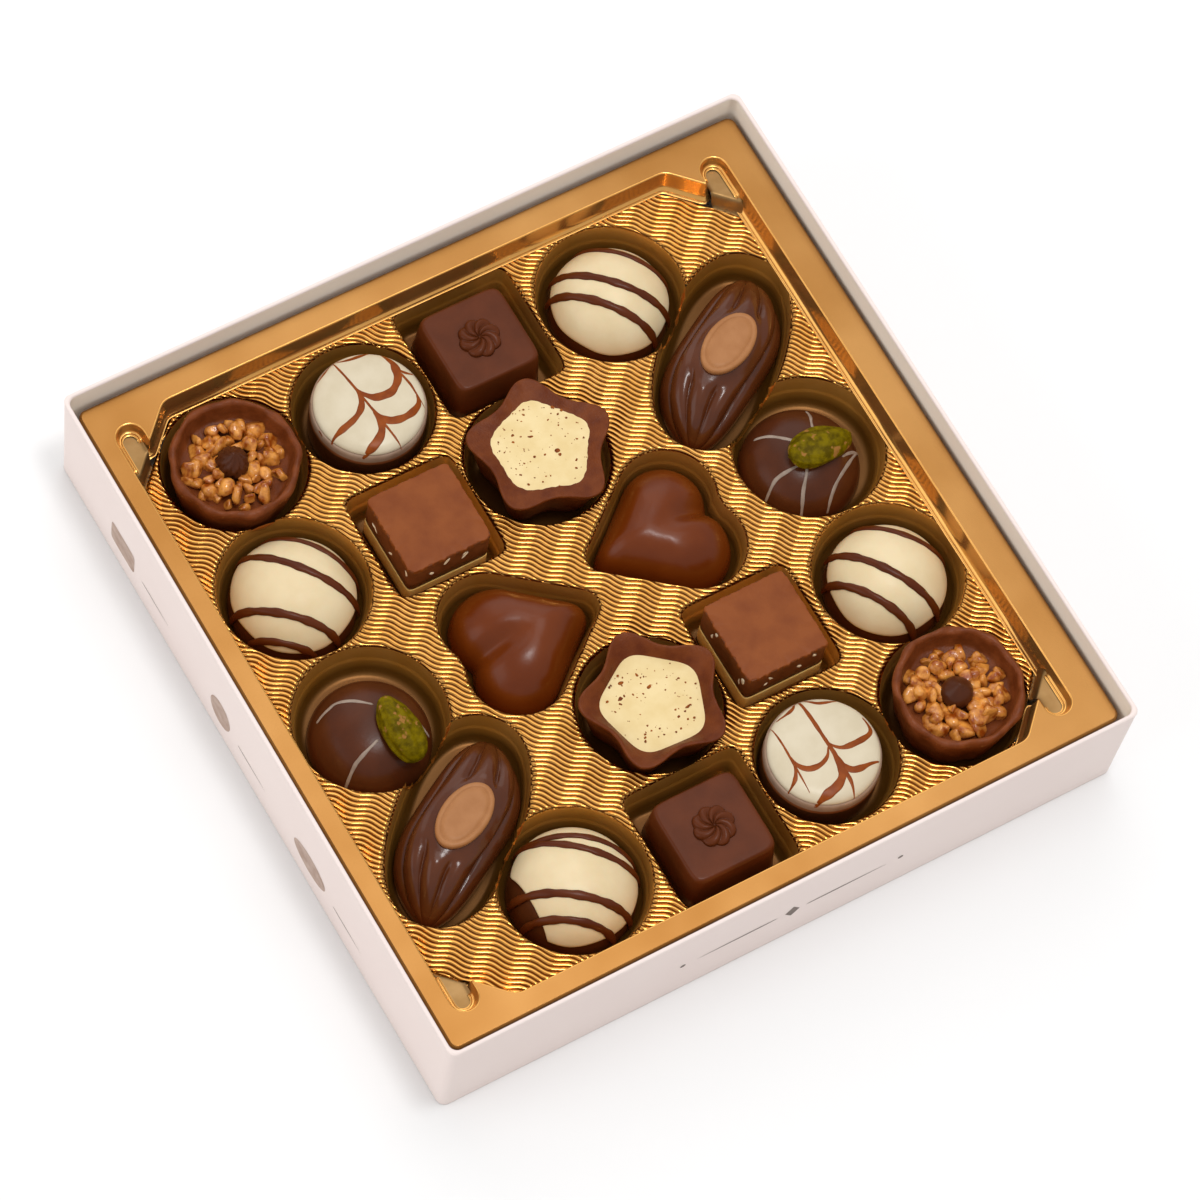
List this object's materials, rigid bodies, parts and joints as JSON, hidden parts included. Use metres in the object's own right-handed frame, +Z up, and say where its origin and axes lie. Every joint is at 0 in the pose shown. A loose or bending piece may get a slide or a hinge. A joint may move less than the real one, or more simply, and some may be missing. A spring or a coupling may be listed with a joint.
{
  "type": "open box of chocolate pralines",
  "caption": "Square paperboard box, open at the top, with assorted chocolate pralines in the moulded cells of a gold tray.",
  "frame": {"origin": "centre of the box's underside", "axes": "+Z up out of the open box, +X along the front wall, +Y from the front wall to the back wall"},
  "size_m": [0.1504, 0.1516, 0.0274],
  "materials": {
    "board": "matt coated paperboard, very pale pink",
    "gold": "satin metallised gold film on a thin moulded plastic sheet",
    "milk": "milk chocolate, softly glossy",
    "dark": "dark chocolate, softly glossy",
    "white": "white chocolate, softly glossy",
    "cream": "vanilla cream, matt",
    "caramel": "caramel coloured chocolate medallion, softly glossy",
    "brittle": "chopped nuts in caramel, glossy",
    "pistachio": "pistachio kernel, matt green",
    "layer": "tan nougat base layer, matt"
  },
  "bodies": {
    "root": {"box": "board", "tray": "gold", "nut_cup_1_shell": "milk", "nut_cup_1_nuts": "brittle", "nut_cup_1_drop": "dark", "nut_cup_2_shell": "milk", "nut_cup_2_nuts": "brittle", "nut_cup_2_drop": "dark", "marbled_1_body": "dark", "marbled_1_icing": "white", "marbled_2_body": "dark", "marbled_2_icing": "white", "dark_cube_1": "dark", "dark_cube_2": "dark", "striped_dome_1": "white", "striped_dome_2": "white", "striped_dome_3": "white", "striped_dome_4": "white", "pod_1_body": "dark", "pod_1_medallion": "caramel", "pod_2_body": "dark", "pod_2_medallion": "caramel", "star_cup_1_shell": "milk", "star_cup_1_cream": "cream", "star_cup_2_shell": "milk", "star_cup_2_cream": "cream", "nougat_1_layer": "layer", "nougat_1_block": "milk", "nougat_2_layer": "layer", "nougat_2_block": "milk", "heart_1": "milk", "heart_2": "milk", "pistachio_1_body": "dark", "pistachio_1_nut": "pistachio", "pistachio_2_body": "dark", "pistachio_2_nut": "pistachio"}
  },
  "joints": []
}
